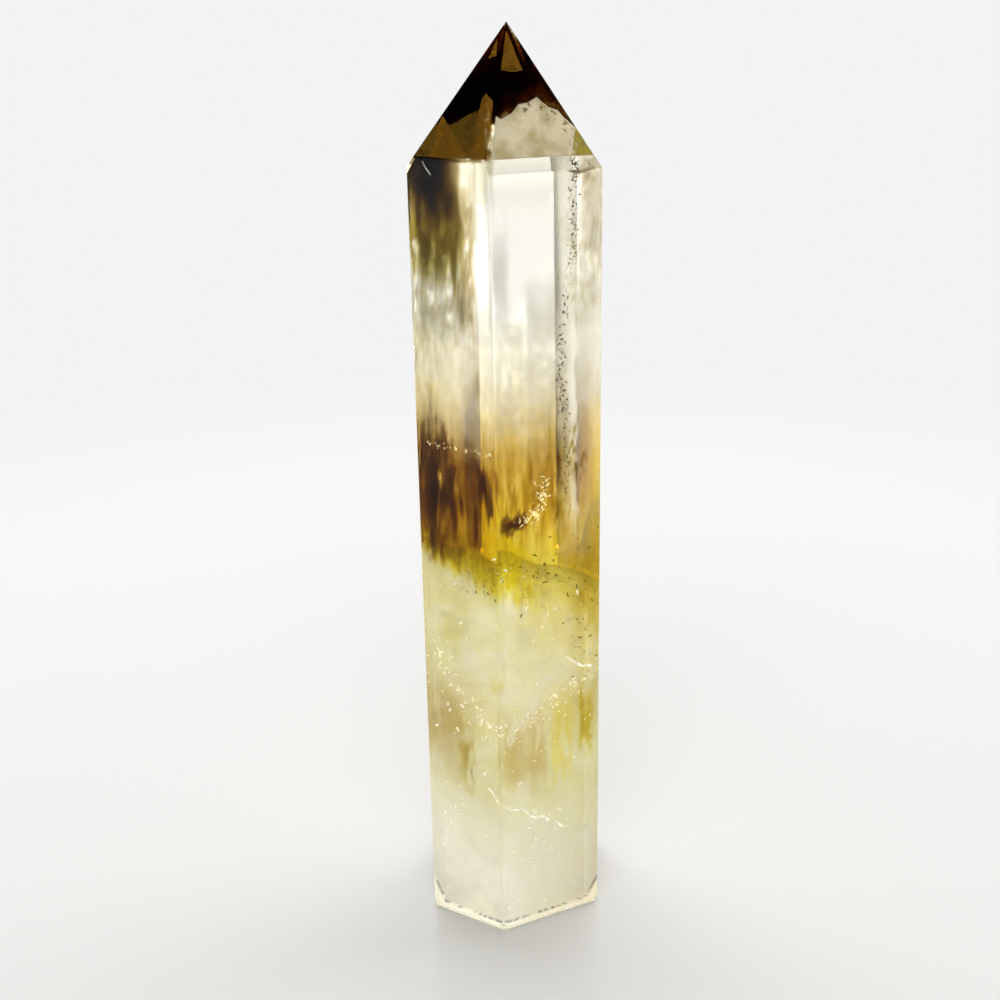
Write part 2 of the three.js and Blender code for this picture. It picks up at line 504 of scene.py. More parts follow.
def polished_stone():
    """A merged, flat-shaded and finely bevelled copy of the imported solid."""
    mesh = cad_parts["crystal_point"].data.copy()
    body = bmesh.new()
    body.from_mesh(mesh)
    bmesh.ops.remove_doubles(body, verts=body.verts, dist=SAME_PLACE)
    bmesh.ops.dissolve_limit(body, angle_limit=SAME_PLANE, verts=body.verts, edges=body.edges)
    body.to_mesh(mesh)
    body.free()
    if "custom_normal" in mesh.attributes:
        mesh.attributes.remove(mesh.attributes["custom_normal"])
    mesh.polygons.foreach_set("use_smooth", np.zeros(len(mesh.polygons), dtype=bool))
    print(f"polished_stone: {len(mesh.polygons)} flats")
    mesh.materials.clear()
    mesh.materials.append(quartz)
    piece = bpy.data.objects.new("polished_stone", mesh)
    bpy.context.scene.collection.objects.link(piece)
    edge = piece.modifiers.new("polished edges", "BEVEL")
    edge.width = POLISH_WIDTH * MM
    edge.segments = 2
    edge.limit_method = "ANGLE"
    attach(piece, "root")
    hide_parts("crystal_point")


polished_stone()

# %% [markdown]
# ## Colour zones
#
# From the tip down: nearly black smoke, clear stone, a brown band with an olive hem, and pale
# yellow stone to the foot. Each zone is a slab that swallows light along the way through it. The
# roof of the foot drops towards the back, so that from above its front edge reads as one line.

# %% The smoky tip
smoke = clear_stone("smoky quartz", SAME_INDEX, (0.20, 0.07, 0.010), 3.5)


def peaks(x):
    """The jagged lower edge of the smoke: a saw of peaks across the stone, in mm."""
    return np.interp(
        x,
        (-9, -4.0, -2.6, -1.9, -0.7, 1.0, 2.8, 4.1, 5.6, 7.0, 9.0),
        (88, 88.0, 88.5, 91.1, 91.0, 92.0, 92.7, 91.8, 90.8, 89.5, 87.5),
    )


slab(
    "smoky_tip",
    smoke,
    lambda x, y: peaks(x / MM) * MM + 0.35 * level_wander(x, y, 1.6, 3),
    lambda x, y: np.full_like(x, HEIGHT),
    inset=0.3,
    rings=44,
    spokes=150,
)

# %% The brown band, the olive hem and the pale foot
brown = clear_stone("brown quartz", SAME_INDEX, (0.92, 0.85, 0.62), 12)
slab(
    "brown_band",
    brown,
    lambda x, y: (45.0 - 0.3 * x / MM) * MM + 1.0 * level_wander(x, y, 5, 11),
    lambda x, y: (58.0 - 0.15 * x / MM) * MM + 1.0 * level_wander(x, y, 2.6, 12),
    inset=0.5,
)
olive = clear_stone("olive quartz", SAME_INDEX, (0.93, 0.89, 0.36), 12)
slab(
    "olive_band",
    olive,
    lambda x, y: (40.5 - 0.6 * x / MM) * MM + 0.9 * level_wander(x, y, 4, 21),
    lambda x, y: (50.0 - 0.1 * x / MM) * MM + 1.2 * level_wander(x, y, 5, 22),
    inset=0.65,
)
pale = clear_stone("pale yellow quartz", SAME_INDEX, (0.985, 0.98, 0.90), 12)
slab(
    "pale_yellow_foot",
    pale,
    lambda x, y: np.full_like(x, 0.4 * MM),
    lambda x, y: (45.8 - 0.3 * x / MM - 0.25 * y / MM) * MM + 0.7 * level_wander(x, y, 8, 31),
    inset=0.8,
)

# %% [markdown]
# ## Stains, dust and painted light
#
# Dark patches under the left shoulder, streaks along the growth direction, a yellow hem: each is a
# blot with a tint, the red, green and blue that are left of white light. Two films carry the tints,
# one just under the polish and one deeper, so that the patches slide over one another as the stone
# is turned. Blots named shade are painted shade. The milky places are blots of white dust on two
# more films, which also carry a painted glow. A blot that is only in front has back=0. The clear
# window in the middle gets grey painted shade too, or it would outshine the studio.

# %% Where the stains are
STAINS_AND_SHADE = {
    # Painted shade: the grey blots in the clear window darken it where it would shine brighter than the
    # studio that the camera sees.
    "painted shade in the window left of the edge": dict(
        tint=(0.79, 0.79, 0.77), x=(-3.4, -1.5), z=(69.0, 90), soft=(0.3, 0.3), ragged=0.05, cover=2,
        back=0),
    "shade at the top of the window": dict(
        tint=(0.80, 0.78, 0.71), x=(-3.4, 5.4), z=(82, 94), soft=(0.3, 5), ragged=0.1, cover=2, back=0),
    "painted shade in the window right of the edge": dict(
        tint=(0.36, 0.357, 0.335), x=(-1.8, 5.4), z=(68.5, 90), soft=(0.3, 6), far_soft=0.4, lean=0.03,
        ragged=0.05, cover=2, back=0),
    "cream left of the window": dict(
        tint=(0.27, 0.255, 0.18), x=(-12, -4.2), z=(69, 90), soft=(0.8, 3.5), ragged=0.4, grain=(2.2, 2),
        cover=1.05, fine=0.3, back=0),
    "cream by the window": dict(
        tint=(0.50, 0.44, 0.30), x=(-5.0, -3.1), z=(69.5, 85), soft=(0.3, 3), ragged=0.1, grain=(1.2, 3),
        cover=1.0, fine=0.4, back=0),
    "shade along the left rim": dict(
        tint=(0.60, 0.56, 0.42), x=(-12, -6.4), z=(55, 73), soft=(2, 3), grain=(2, 3), cover=1, back=0),
    "shade on the left of the collar": dict(
        tint=(0.75, 0.75, 0.71), x=(-12, -5), z=(63.5, 73), soft=(1, 2), ragged=1.0, grain=(2, 2),
        cover=1.0, back=0),
    "shade under the right shoulder": dict(
        tint=(0.44, 0.39, 0.30), x=(6.9, 12), z=(81, 92), soft=(0.8, 5), ragged=0.5, grain=(1.2, 2),
        cover=1.0, back=0),
    "cream wedge": dict(
        tint=(0.64, 0.61, 0.48), x=(-6, -2.6), z=(79, 90), soft=(0.3, 1), lean=-0.16, ragged=0.1,
        grain=(3, 1), cover=1.2, back=0),
    "streaks left of the window": dict(
        tint=(0.66, 0.58, 0.36), x=(-12, -3.1), z=(67, 87), soft=(0.3, 3), ragged=0.1, grain=(0.7, 3.5),
        cover=0.3, back=0),
    "cream right of the window": dict(
        tint=(0.34, 0.31, 0.22), x=(6.2, 12), z=(70, 91), soft=(2.2, 10), ragged=0.2, grain=(2, 2.5),
        cover=1.0, fine=0.3, back=0),
    "streaks right of the window": dict(
        tint=(0.68, 0.60, 0.42), x=(5.0, 12), z=(70, 90), soft=(1.2, 3), grain=(0.6, 3.5), cover=0.25,
        back=0),
    "black patch on the shoulder": dict(
        tint=(0.0005, 0.0002, 0.0001), x=(-14, -6.0), z=(83.2, 91.5), soft=(0.8, 2.6), ragged=1.2,
        grain=(1.5, 1), cover=1.4, crisp=0.8, back=0),
    "brown patch on the shoulder": dict(
        tint=(0.022, 0.008, 0.0004), x=(-14, -4.2), z=(80.6, 88.9), soft=(0.9, 2.4), lean=0.10,
        grain=(1.4, 1.2), cover=1.35, crisp=0.7, back=0),
    "olive on the shoulder": dict(
        tint=(0.075, 0.042, 0.0006), x=(-14, -4.5), z=(75.6, 83.6), soft=(1.0, 3), ragged=1.4,
        grain=(1.3, 1.6), cover=1.05, crisp=0.8, back=0),
    "beige column by the window": dict(
        tint=(0.50, 0.40, 0.20), x=(-5.3, -3.3), z=(70, 84), soft=(0.4, 3), ragged=0.3, grain=(0.45, 5),
        cover=0.4, crisp=1.2, back=0),
    "collar left": dict(
        tint=(0.93, 0.91, 0.80), x=(-12, -1.8), z=(55, 69.4), soft=(0.1, 0.4), ragged=0.1, grain=(2.5, 2),
        cover=0.9),
    "collar right": dict(
        tint=(0.68, 0.66, 0.58), x=(-1.8, 6.2), z=(51, 74), soft=(0.1, 7), far_soft=0.6, ragged=0.2,
        grain=(3, 2), cover=1),
    "beige under the collar": dict(
        tint=(0.77, 0.67, 0.44), x=(-12, 6.2), z=(50, 66), soft=(1, 8), far_soft=0.6, ragged=0.2,
        grain=(4, 1.5), cover=1.1),
    "grey streaks in the collar": dict(
        tint=(0.86, 0.82, 0.70), x=(-12, -1.8), z=(58, 69.2), soft=(0.4, 2), grain=(0.7, 3), cover=0.2),
    "band": dict(
        tint=(0.76, 0.66, 0.31), x=(-12, 6.2), z=(44.5, 60.5), soft=(1, 5), far_soft=0.8, grain=(1.5, 5),
        cover=0.9),
    "dark left of the band": dict(
        tint=(0.045, 0.014, 0.0006), x=(-12, -5.5), z=(51, 61.2), soft=(0.8, 1.5), ragged=2.2,
        grain=(0.9, 5), cover=0.62, crisp=1.0, back=1),
    "maroon far left of the band": dict(
        tint=(0.05, 0.015, 0.002), x=(-14, -7.5), z=(45.5, 59), soft=(0.8, 3), ragged=1.5, grain=(1.1, 4),
        cover=0.8, back=1),
    "umber left of the band": dict(
        tint=(0.32, 0.19, 0.001), x=(-12, -4.6), z=(42.6, 52), tilt=0.3, soft=(1, 1), grain=(1.3, 3),
        cover=0.95, crisp=0.6, back=1),
    "gold left of the front edge": dict(
        tint=(0.64, 0.49, 0.001), x=(-5.4, -1.8), z=(43.8, 54), tilt=0.3, soft=(1, 2), grain=(1.0, 3),
        cover=0.95, crisp=0.6, back=1),
    "streaks by the front edge": dict(
        tint=(0.55, 0.44, 0.04), x=(-5.2, -1.6), z=(51, 59), soft=(0.4, 2), ragged=1.5, grain=(0.5, 6),
        cover=0.4, crisp=1.3, back=1),
    "maroon spike": dict(
        tint=(0.015, 0.003, 0.003), x=(-3.5, -1.8), z=(51.2, 55.6), soft=(0.5, 1), ragged=1.5,
        grain=(0.8, 3), cover=1.0, back=-6),
    "maroon spot": dict(
        tint=(0.03, 0.008, 0.004), x=(-1.5, 1.4), z=(49.0, 51.0), soft=(0.4, 0.4), ragged=0.5,
        grain=(0.9, 1), cover=0.85, crisp=0.7, back=-6),
    "tan right of the band": dict(
        tint=(0.84, 0.74, 0.38), x=(-1.8, 6.0), z=(46, 58), soft=(0.4, 5), far_soft=0.6, grain=(1.2, 6),
        cover=0.8),
    "mustard streaks": dict(
        tint=(0.42, 0.32, 0.03), x=(-1.8, 5.6), z=(47.5, 58), soft=(0.5, 4), ragged=2, grain=(0.9, 5),
        cover=0.55, crisp=0.8, back=0),
    "olive streaks right of the band": dict(
        tint=(0.26, 0.17, 0.006), x=(5.8, 7.6), z=(52.5, 60.5), soft=(0.5, 2), ragged=2, grain=(0.5, 5),
        cover=0.3, crisp=1.2, back=0),
    "yellow hem": dict(
        tint=(0.98, 0.86, 0.05), x=(-12, 3.0), z=(40.8, 49), tilt=0.5, soft=(1, 1.5), far_soft=3,
        ragged=0.7, grain=(1.8, 2), cover=0.95, back=3),
    "yellow right of the hem": dict(
        tint=(0.97, 0.88, 0.55), x=(-1, 12), z=(36, 58), tilt=0.9, soft=(2, 5), grain=(2, 2), cover=1,
        fine=0.2),
    "olive under the hem on the right": dict(
        tint=(0.78, 0.66, 0.34), x=(5.5, 12), z=(35, 46.5), soft=(2, 3), ragged=1.2, grain=(1.5, 2),
        cover=0.95, back=0),
    "khaki in the hem": dict(
        tint=(0.78, 0.70, 0.60), x=(-6, 4), z=(41, 48), tilt=0.4, soft=(1, 2), ragged=1.2,
        grain=(1.2, 1.5), cover=0.75, back=0),
    "cream foot": dict(
        tint=(0.985, 0.97, 0.72), x=(-14, 14), z=(7, 47), tilt=0.4, soft=(1, 9), grain=(4, 1.2),
        cover=0.85, fine=0.3, crisp=0.6),
    "pink left": dict(
        tint=(0.78, 0.65, 0.54), x=(-14, -5.4), z=(17, 32), soft=(2, 6), grain=(3, 2), cover=0.9,
        fine=0.2),
    "tan left": dict(
        tint=(0.58, 0.44, 0.15), x=(-6.8, -4.3), z=(16.5, 27), soft=(0.8, 4), grain=(1.2, 3), cover=0.65,
        fine=0.2, back=2),
    "tan in front": dict(
        tint=(0.76, 0.61, 0.34), x=(-2.0, 3.6), z=(17, 29), soft=(0.9, 4), grain=(1.8, 3), cover=0.8,
        fine=0.2),
    "yellow column": dict(
        tint=(0.95, 0.86, 0.30), x=(3.6, 6.7), z=(16, 30), soft=(0.8, 4), grain=(1.4, 4), cover=0.9,
        fine=0.2),
    "gold stripe": dict(
        tint=(0.62, 0.47, 0.03), x=(6.7, 8.7), z=(19.5, 29), soft=(0.5, 3), grain=(0.8, 4), cover=0.8,
        back=2),
    "smoke under the left flat": dict(
        tint=(0.10, 0.045, 0.008), x=(-14, -1.5), z=(87.1, 120), soft=(0.3, 0.2), ragged=0,
        grain=(1.6, 1.5), cover=0.9, back=-1),
    "smoke under the right flat": dict(
        tint=(0.05, 0.015, 0.004), x=(-1.5, 14), z=(89.0, 120), soft=(0.3, 0.5), ragged=0,
        grain=(1.6, 1.5), cover=1, back=-1),
    "khaki foot": dict(
        tint=(0.985, 0.95, 0.86), x=(0, 12), z=(-9, 10), soft=(3, 5), grain=(3, 1.5), cover=0.9, fine=0.2),
}
print(len(STAINS_AND_SHADE), "stains")

# %% Where the white dust is
DUST = {
    "left of the window": dict(
        most=0.42, x=(-12, -3.3), z=(64, 80), soft=(0.4, 5), grain=(2, 2), cover=1.0),
    "right of the window": dict(
        most=0.35, x=(4.2, 12), z=(60, 88), soft=(1.4, 3), grain=(1.8, 2.5), cover=0.8),
    "collar left": dict(
        most=0.5, x=(-12, -1.8), z=(56, 69.4), soft=(0.2, 2), ragged=0.1, grain=(3, 1.5), cover=1.1),
    "white patch in the collar": dict(
        most=0.6, x=(-6.6, -2.8), z=(61, 67), soft=(1.2, 2), grain=(2, 1), cover=0.9),
    "collar right": dict(
        most=0.6, x=(-1.9, 9), z=(56, 74), soft=(0.2, 7), far_soft=3, grain=(4, 2), cover=1.2),
    "band": dict(
        most=0.2, x=(-1, 10), z=(44, 60), soft=(3, 3), grain=(2.5, 3), cover=0.8),
    "foot": dict(
        most=0.25, x=(-14, 14), z=(-9, 44.5), tilt=0.5, soft=(1, 3), grain=(5, 1.3), cover=0.7, crisp=0.5,
        fine=0.1),
    "foot wisps": dict(
        most=0.3, x=(-14, 14), z=(-9, 42), tilt=0.5, soft=(1, 3), grain=(3, 0.8), cover=0.3, crisp=0.5,
        fine=0.2),
    "white bowl": dict(
        most=0.5, x=(-7, 8), z=(24, 36), tilt=0.1, soft=(4, 5), grain=(2.5, 0.8), cover=0.6, crisp=0.6,
        fine=0.3),
    "white heel": dict(
        most=0.9, x=(-16, 1.5), z=(-9, 16), tilt=0.6, soft=(5, 9), ragged=0.3, grain=(4, 1), cover=1.6,
        crisp=0.5),
    "pale heel": dict(
        most=0.45, x=(-16, 16), z=(-9, 16), soft=(3, 9), ragged=0.3, grain=(4, 1), cover=1.3, crisp=0.5),
}


print(len(DUST), "clouds of dust")


# %% Paint the four films
DUST_DEPTHS = (0.95, 1.45)
THICKEST_DUST = 0.24
# Painted light: the dust films glow a little by themselves in this tint, more at the heel.
PAINTED_GLOW_TINT = np.array((1, 0.98, 0.90))
DUST_PAINTED_GLOW = 0.13
HEEL_PAINTED_GLOW = 0.24
PAINTED_GLOW_HEEL = dict(x=(-16, 2.0), z=(-9, 13), tilt=0.9, soft=(5, 8), ragged=0.6, grain=(3, 1), cover=1.0, crisp=0.6)


def stains_and_shade_at(points, share, seed):
    """The tints of all the stains and painted shade over one another, each to the power of its mask and of
    `share`, the part of each stain that is on this film. The product is squared, because a clear skin
    takes the root of its colour each time light crosses it."""
    colour = np.ones_like(points)
    for number, spot in enumerate(STAINS_AND_SHADE.values()):
        where = {key: value for key, value in spot.items() if key != "tint"}
        mask = blot(points, seed=seed + number, **where)
        colour *= np.asarray(spot["tint"]) ** (share * mask[:, None])
    return colour**2


def dust_and_painted_glow_at(points):
    """A painted glow in red, green and blue, stronger at the heel, and then how much dust there is.
    Each cloud covers its share of what the others leave clear, and the films share the result."""
    clear = np.ones(len(points))
    for number, spot in enumerate(DUST.values()):
        where = {key: value for key, value in spot.items() if key != "most"}
        clear *= 1 - spot["most"] * blot(points, seed=80 + number, **where)
    each = np.minimum(1 - clear ** (1 / len(DUST_DEPTHS)), THICKEST_DUST)
    light = DUST_PAINTED_GLOW + HEEL_PAINTED_GLOW * blot(points, seed=91, **PAINTED_GLOW_HEEL)
    return np.concatenate([light[:, None] * PAINTED_GLOW_TINT, each[:, None]], axis=1)


def read_stain(material, source, target):
    """Feeds one output of the film's colours into the Principled shader."""
    tree = material.node_tree
    colours = add_node(tree, "Attribute", {}, attribute_name="stain")
    tree.links.new(colours[source], tree.nodes["Principled BSDF"].inputs[target])


stained = clear_stone("stained film", SAME_INDEX, (0.999, 0.998, 0.997), 20)
read_stain(stained, "Color", "Base Color")
film("outer_film", stained, 0.4, lambda points: stains_and_shade_at(points, 0.45, 0))
film("inner_film", stained, 1.7, lambda points: stains_and_shade_at(points, 0.3, 40))
dusty, dust_shader = matt("white dust with painted glow", (0.98, 0.97, 0.93), 0.8)
dust_shader.inputs["Specular IOR Level"].default_value = 0
# Painted glow: the film's colours feed the emission of the dust.
painted_glow(dust_shader, (1, 1, 1), 1)
read_stain(dusty, "Alpha", "Alpha")
read_stain(dusty, "Color", "Emission Color")
for number, depth in enumerate(DUST_DEPTHS, 1):
    film(f"dust_film_{number}", dusty, depth, dust_and_painted_glow_at, rows=160, crown_rows=16, spokes=150)

# %% [markdown]
# ## Columns, milky stone and veils
#
# The brown band is full of upright columns, left by growth. The foot is cloudy: a rough inner skin
# scatters the light that goes through it. Healed fractures cross the stone as rumpled veils.

# %% Brown growth columns in the band
moss = clear_stone("moss quartz", SAME_INDEX, (0.62, 0.50, 0.16), 3)
rng = np.random.default_rng(7)
dark_columns = clear_stone("dark column", SAME_INDEX, (0.25, 0.14, 0.04), 1.6)


def stand_columns(name, material, side, count, along, feet, length, rng):
    """Columns at random places behind a side, between two values along it and two heights."""
    places = under(side, rng.uniform(*along, count), rng.uniform(*feet, count), rng.uniform(0.5, 5, count))
    tall = rng.uniform(*length, count)
    columns(name, material, pressed_inside(places, 0.8), tall, rng.uniform(0.15, 0.45, count), rng)


stand_columns("dark_columns", dark_columns, FRONT_LEFT, 26, (0.2, 7), (44.5, 52), (3, 9), rng)
stand_columns("tan_columns", moss, FRONT_RIGHT, 12, (4, 12), (46, 53), (3, 8), rng)

# %% Milky stone
def hazy(name, ior, roughness):
    """Cloudy stone that still lets light through: a rough skin scatters it."""
    material, shader = matt(name, (1, 1, 1), roughness)
    shader.inputs["Transmission Weight"].default_value = 1
    shader.inputs["IOR"].default_value = ior
    return material


slab(
    "cloudy_foot",
    hazy("cloudy foot stone", 1.25, 0.55),
    lambda x, y: np.full_like(x, 0.6 * MM),
    lambda x, y: (42.6 - 0.4 * x / MM - 0.25 * y / MM) * MM + 0.5 * level_wander(x, y, 8, 41),
    inset=1.9,
)
# Painted glow: the pale sole glows a little, to lighten the rim of the foot.
slab(
    "pale_sole",
    milky("pale sole", (0.97, 0.96, 0.90), painted_glow_colour=(1, 0.98, 0.90), painted_glow_strength=0.2,
          Size=3, Low=0.1, High=0.4, Bottom=0, Bottom_Soft=0.1, Most=0.85),
    lambda x, y: np.full_like(x, 0.2 * MM),
    lambda x, y: np.full_like(x, 0.26 * MM),
    inset=0.35,
)

# %% Veils: healed fractures that cross the stone
def veil(name, material, start, along, back, swell, seed, thick=0.03):
    """A rumpled sheet from three corners in mm: start, start + along, start + back."""
    start, along, back = (np.asarray(v, float) * MM for v in (start, along, back))
    lift = np.cross(along, back)
    lift /= np.linalg.norm(lift)

    def surface(u, v):
        flat = start + u[..., None] * along + v[..., None] * back
        return pressed_inside(flat + swell * MM * wander(flat / MM, 5, seed)[..., None] * lift, 0.5)

    return sheet(name, material, surface, thick)


fog = milky("foggy veil", (1, 0.98, 0.90), Size=2.2, Stretch=1, Low=0.42, High=0.85, Most=0.24)
for seed in range(9):
    rng = np.random.default_rng(100 + seed)
    height = rng.uniform(8, 42)
    turn = rng.uniform(0, 2 * np.pi)
    out = np.array([np.cos(turn), np.sin(turn), rng.uniform(-0.9, 0.9)])
    side_way = np.array([-np.sin(turn), np.cos(turn), rng.uniform(-0.5, 0.5)])
    size = rng.uniform(6, 13, 2)
    corner = np.array([0, 0, height]) - out * size[0] / 2 - side_way * size[1] / 2
    start = corner + [*rng.uniform(-3, 3, 2), 0]
    veil(f"foggy_veil_{seed + 1}", fog, start, out * size[0], side_way * size[1], 0.9, 70 + seed)

# %% Haze with a painted glow behind the right-hand side
# Painted glow: the haze sheets glow a little and lighten the strip behind the right-hand side.
haze = milky("haze", (1, 0.98, 0.90), painted_glow_colour=(1, 0.96, 0.82), painted_glow_strength=0.35, Size=3, Low=-1,
             High=0.4, Bottom=45, Bottom_Soft=6, Top=78, Top_Soft=9, Most=0.22)


def haze_sheet(name, left, depth, seed):
    """A flat sheet `depth` mm under the front right side, from `left` to about 10 mm along it."""

    def surface(u, v):
        height = 45 + 33 * v
        near = left + 0.3 * wander(np.stack([0 * v, height], -1), 4, seed)
        far = 10.2 + 0.3 * wander(np.stack([0 * v, height], -1), 4, seed + 2)
        return pressed_inside(under(FRONT_RIGHT, near + u * (far - near), height, depth), 0.6)

    return sheet(name, haze, surface, 0.03, (20, 60))


haze_sheet("right_haze_near", 7.9, 2.0, 93)
haze_sheet("right_haze_far", 8.2, 2.4, 94)

# %% [markdown]
# ## Veils under the crown
#
# Under the right-hand flat of the crown lies a wall of beige stone with a jagged top, like a range
# of mountains. Golden patches lie near the tip and low on the left-hand flat.

# %% Patches under a flat of the crown
def crown_patch(name, material, side, depth, low, high):
    """A thin sheet under a flat of the crown. low and high are its lower and upper edge, each a
    list of (x, z) in mm from left to right."""
    low, high = np.asarray(low, float), np.asarray(high, float)

    def edge(stops, u):
        where = u * (len(stops) - 1)
        return [np.interp(where, np.arange(len(stops)), stops[:, k]) for k in (0, 1)]

    def surface(u, v):
        (x_low, z_low), (x_high, z_high) = edge(low, u), edge(high, u)
        x, z = x_low + v * (x_high - x_low), z_low + v * (z_high - z_low)
        return pressed_inside(under_crown(side, x, z, depth), 0.1)

    return sheet(name, material, surface, 0.03, (80, 24))


khaki = milky("khaki veil", (0.80, 0.71, 0.48), roughness=0.6, Size=1.6, Stretch=1.5, Low=0.05, High=0.35,
              Most=0.94)
khaki_tones = cloud_mask(khaki, Size=2.2, Stretch=1.2, Low=0.42, High=0.62)
khaki_mix = between(khaki, khaki_tones, (0.86, 0.78, 0.56), (0.62, 0.52, 0.28))
khaki.node_tree.links.new(khaki_mix, khaki.node_tree.nodes["Principled BSDF"].inputs["Base Color"])
olive_dust = milky("olive dust", (0.55, 0.46, 0.08), roughness=0.6, Size=1.0, Stretch=1.6, Low=0.32,
                   High=0.6, Most=0.75)
specks = milky("olive specks", (0.40, 0.32, 0.12), roughness=0.5, Size=0.8, Stretch=1, Low=0.55,
               High=0.70, Most=0.8)
umber_dust = milky("umber dust", (0.15, 0.085, 0.010), roughness=0.5, Size=1.6, Stretch=1.6, Low=0.0,
                   High=0.6, Most=0.92)
amber = milky("amber veil", (0.27, 0.13, 0.012), roughness=0.5, Size=1.2, Stretch=4, Detail=1, Low=-0.1,
              High=0.7, Most=0.85)
PATCHES = {
    "mountain_veil": (khaki, FRONT_RIGHT, 0.25,
        ((-1.6, 87.3), (1.5, 87.3), (4.5, 87.3), (7.0, 87.2), (8.9, 87.2)),
        ((-1.1, 91.2), (-0.6, 90.9), (0.4, 91.4), (1.1, 92.2), (2.0, 92.3), (2.9, 92.8),
         (4.1, 91.8), (5.0, 91.5), (5.6, 90.8), (7.0, 89.6), (8.9, 87.6))),
    "olive_patch_right": (olive_dust, FRONT_RIGHT, 0.2,
        ((6.3, 87.3), (7.4, 87.3), (8.5, 87.3)), ((6.9, 90.3), (7.2, 89.6), (8.5, 87.9))),
    "olive_specks": (specks, FRONT_RIGHT, 0.16,
        ((1.6, 91.4), (3.2, 91.6), (5.4, 89.8), (8.4, 87.4)),
        ((1.4, 92.2), (2.9, 92.7), (5.6, 90.7), (8.8, 87.6))),
    "umber_veil_left": (umber_dust, FRONT_LEFT, 0.22,
        ((-9.3, 87.5), (-7.5, 87.5), (-5.6, 87.5), (-3.7, 87.5), (-1.9, 87.5)),
        ((-9.2, 87.7), (-7.0, 90.6), (-5.4, 90.4), (-3.6, 91.4), (-2.4, 91.8))),
    "amber_veil_right": (amber, FRONT_RIGHT, 0.16,
        ((-0.55, 95.4), (0.5, 95.2), (1.6, 95.3)), ((-0.05, 98.9), (0.0, 99.1), (0.1, 98.9))),
    "olive_veil_left": (amber, FRONT_LEFT, 0.16,
        ((-1.7, 96.5), (-1.3, 96.6), (-0.95, 96.7)),
        ((-0.95, 98.1), (-0.9, 98.2), (-0.8, 98.1))),
    "amber_veil_left": (amber, FRONT_LEFT, 0.16,
        ((-7.6, 87.5), (-5.6, 87.4), (-3.7, 87.5)), ((-6.5, 91.0), (-6.3, 91.2), (-5.9, 90.6))),
    "gold_streak_left": (amber, FRONT_LEFT, 0.16,
        ((-3.6, 87.4), (-2.7, 87.4), (-1.85, 87.5)),
        ((-2.4, 92.8), (-2.0, 93.3), (-1.3, 92.6))),
}
for name, patch in PATCHES.items():
    crown_patch(name, *patch)

# %% [markdown]
# ## Fractures and flakes
#
# Where a fracture reaches the polish its edge shows as a pale thread with a painted glow. The flakes are
# tiny plates
# that lie scattered along paths: dark ones in a trail, and bright ones with a painted glow in a row, a
# cluster and a bowl.

# %% Threads: the bright edges of fractures, just under the polish
def thread(name, material, side, stops, width, depth, seed):
    """A narrow ribbon under a side that follows stops of (along, height) mm. Its two edges wander,
    and its ends taper off."""
    stops = np.asarray(stops, float)

    def surface(u, v):
        where = u * (len(stops) - 1)
        along, height = (np.interp(where, np.arange(len(stops)), stops[:, k]) for k in (0, 1))
        spots = np.stack([along, height], -1)
        taper = np.sin(np.pi * (0.03 + 0.94 * u)) * (0.7 + 0.5 * wander(spots, 1.2, seed))
        rise = (v - 0.5) * width * np.maximum(taper, 0.05) + 0.25 * wander(spots, 2.5, seed + 1)
        return pressed_inside(under(side, along + 0.3 * (v - 0.5) * width, height + rise, depth), 0.08)

    return sheet(name, material, surface, 0.02, (120, 4))


# Painted glow: the frost glows a little so that the threads read bright, and the shoulder glint is a
# painted highlight.
frost = milky("white frost", (1, 1, 0.95), roughness=0.5, painted_glow_colour=(1, 1, 0.92), painted_glow_strength=0.35,
              Size=0.5, Stretch=1, Low=0.30, High=0.6, Most=0.6)
thread("base_fracture_left", frost, FRONT_LEFT, ((7.8, 18.6), (8.6, 17.6), (9.7, 16.6)), 0.35, 0.3, 61)
SLANT = ((0.0, 16.6), (3.0, 15.4), (5.5, 13.4), (8.8, 11.3))
thread("base_fracture_right", frost, FRONT_RIGHT, SLANT, 0.4, 0.3, 62)
thread("high_thread", frost, FRONT_RIGHT, ((8.3, 33.2), (10.4, 31.6), (12.5, 31.2)), 0.4, 0.3, 65)
thread("shoulder_glint", frost, FRONT_LEFT, ((1.9, 87.0), (2.5, 86.6), (2.8, 85.8)), 0.2, 0.12, 66)

# %% Glints, flecks and trails
# Painted glints: the bright and the honey flakes glow, in place of the highlights that real flakes catch.
glint, glint_shader = matt("flake with painted glint", (1.0, 0.97, 0.84), 0.2)
painted_glow(glint_shader, (1.0, 0.96, 0.74), 0.3)
honey, honey_shader = matt("honey flake with painted glint", (0.95, 0.87, 0.50), 0.3)
painted_glow(honey_shader, (1.0, 0.90, 0.50), 0.35)
fleck = matt("dark fleck", (0.10, 0.07, 0.02), 0.45)[0]
olive_fleck = matt("olive fleck", (0.24, 0.18, 0.008), 0.5)[0]


def along_trail(rng, count, side, stops, spread):
    """Places scattered round a path under a side. Stops are (along, height, depth) in mm."""
    stops = np.asarray(stops, float)
    where = rng.uniform(0, len(stops) - 1, count)
    path = np.stack([np.interp(where, np.arange(len(stops)), stops[:, k]) for k in range(3)], 1)
    path += rng.normal(size=path.shape) * spread
    return pressed_inside(under(side, path[:, 0], path[:, 1], path[:, 2]), 0.25)


def scatter(name, material, count, side, stops, spread, least, extra, power, rng):
    """Flakes along a trail. Their radius in mm is least + extra * u ** power, with u random in 0..1."""
    places = along_trail(rng, count, side, stops, spread)
    flakes(name, material, places, least + extra * rng.uniform(0, 1, count) ** power, rng)


